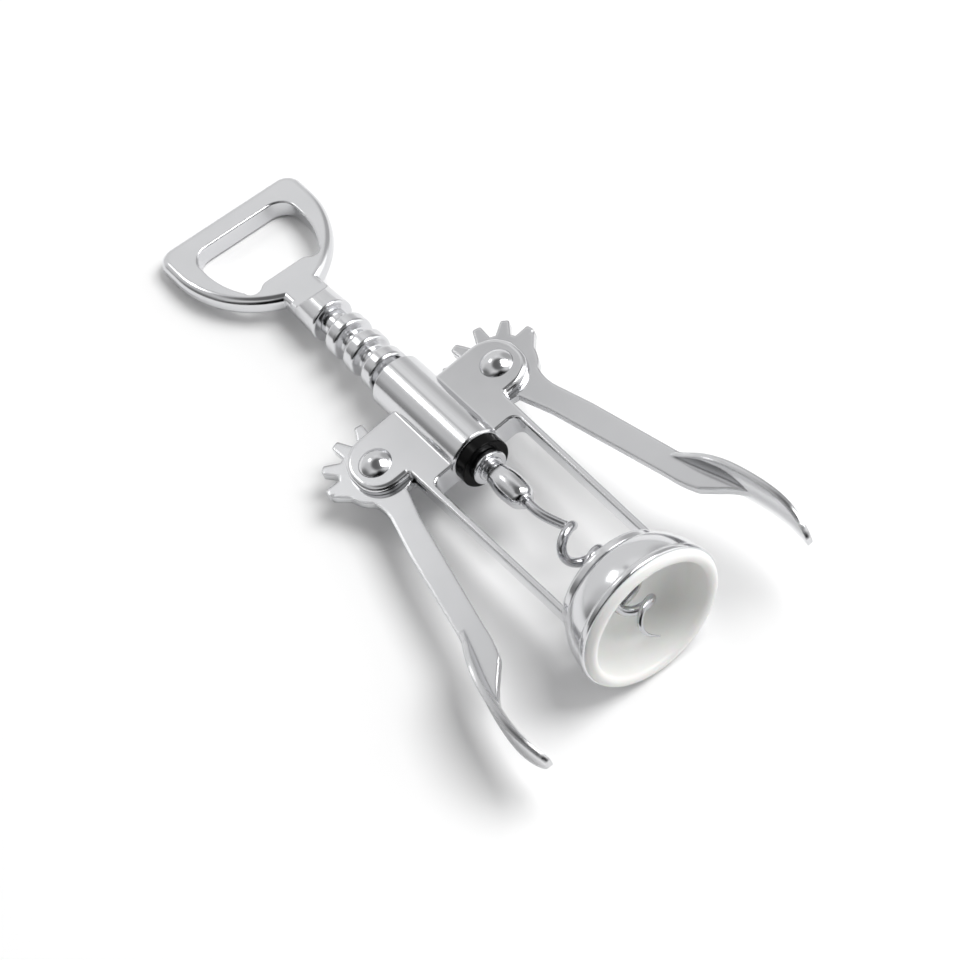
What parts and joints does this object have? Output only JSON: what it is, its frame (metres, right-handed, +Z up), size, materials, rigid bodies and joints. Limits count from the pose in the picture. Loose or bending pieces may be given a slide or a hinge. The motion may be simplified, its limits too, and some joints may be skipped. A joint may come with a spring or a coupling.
{
  "type": "wing corkscrew",
  "caption": "Chrome wing corkscrew at rest: geared side levers on a barrel frame, ridged spindle with a loop handle, coil worm and a white-lined bell.",
  "frame": {"origin": "centre of the resting part's footprint box, on the table under it", "axes": "+Z up off the table; +Y along the spindle from the bell to the handle, seen from above; +X to the right lever"},
  "size_m": [0.0781, 0.1762, 0.0366],
  "materials": {
    "bright_chrome": "mirror polished plating",
    "plated_steel": "plated round wire",
    "white_plastic": "semi-gloss",
    "black_nylon": "gloss"
  },
  "bodies": {
    "frame": {"frame_casting": "bright_chrome", "bell_cup": "bright_chrome", "bell_liner": "white_plastic", "right_rivet": "bright_chrome", "left_rivet": "bright_chrome"},
    "washer": {"bumper_washer": "black_nylon"},
    "spindle": {"thrust_collar": "bright_chrome", "rack_spindle": "bright_chrome", "opener_handle": "bright_chrome", "handle_cross_pin": "plated_steel", "worm_ferrule": "bright_chrome", "worm": "plated_steel"},
    "right_lever": {"right_lever": "bright_chrome"},
    "left_lever": {"left_lever": "bright_chrome"}
  },
  "joints": [
    {"name": "spindle_slide", "type": "slide", "parent": "frame", "child": "washer", "axis": [0, -0.9953, 0.0967], "range_m": [0, 0.0325]},
    {"name": "spindle_spin", "type": "hinge", "parent": "washer", "child": "spindle", "pos_m": [0.00093, -0.01764, 0.01263], "axis": [0, 0.9953, -0.0967], "continuous": true},
    {"name": "right_lever_swing", "type": "hinge", "parent": "frame", "child": "right_lever", "pos_m": [0.01877, -0.00112, 0.01342], "axis": [-0.1323, 0.0958, 0.9866], "range_deg": [0, 134.53]},
    {"name": "left_lever_swing", "type": "hinge", "parent": "frame", "child": "left_lever", "pos_m": [-0.01691, -0.00158, 0.00868], "axis": [-0.1323, 0.0958, 0.9866], "range_deg": [-134.53, 0]}
  ],
  "couplings": [
    {"joint": "right_lever_swing", "follows": "spindle_slide", "rad_per_m": 72.221},
    {"joint": "left_lever_swing", "follows": "spindle_slide", "rad_per_m": -72.221}
  ]
}
